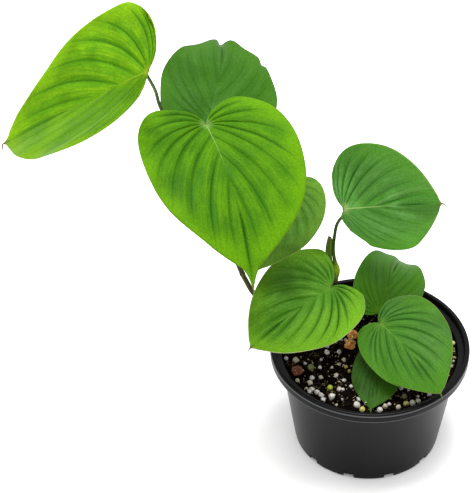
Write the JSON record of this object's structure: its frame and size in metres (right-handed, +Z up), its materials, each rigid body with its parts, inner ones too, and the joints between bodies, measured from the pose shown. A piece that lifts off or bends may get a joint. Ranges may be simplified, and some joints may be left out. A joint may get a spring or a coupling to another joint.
{
  "type": "potted philodendron",
  "caption": "House plant in a round black nursery pot: heart-shaped, pleated leaves on slender stalks lean out over one side of dark soil studded with perlite.",
  "frame": {"origin": "centre of the pot's underside, where it meets the surface it stands on", "axes": "+Z up through the pot's centre line, -Y towards the front of the plant, -X the side that the tall shoot leans out over"},
  "size_m": [0.332, 0.2612, 0.4198],
  "materials": {
    "pot": "satin black moulded plastic, slightly scuffed",
    "soil": "moist dark peat with white perlite grains",
    "bark_red": "rough red-brown bark",
    "bark_orange": "rough orange-brown bark",
    "stem": "smooth olive-brown stem with node rings",
    "stalk": "smooth dark green leaf stalk",
    "sheath": "dry olive-brown bud sheath",
    "leaf_light": "soft satin young leaf, bright yellow-green",
    "leaf_green": "soft satin leaf, mid green",
    "leaf_dark": "soft satin old leaf, dark green"
  },
  "bodies": {
    "root": {"pot": "pot", "soil": "soil", "bark_chip_1": "bark_red", "bark_chip_2": "bark_orange", "bark_chip_3": "bark_orange", "stem_tall": "stem", "stem_short": "stem", "stem_low": "stem", "stalk_a": "stalk", "stalk_b": "stalk", "stalk_c": "stalk", "stalk_d": "stalk", "stalk_e": "stalk", "stalk_f": "stalk", "stalk_g": "stalk", "stalk_h": "stalk", "stalk_i": "stalk", "leaf_a": "leaf_light", "leaf_b": "leaf_dark", "leaf_c": "leaf_light", "leaf_d": "leaf_green", "leaf_e": "leaf_green", "leaf_f": "leaf_dark", "leaf_g": "leaf_green", "leaf_h": "leaf_green", "leaf_i": "leaf_dark", "sheath": "sheath"}
  },
  "joints": []
}
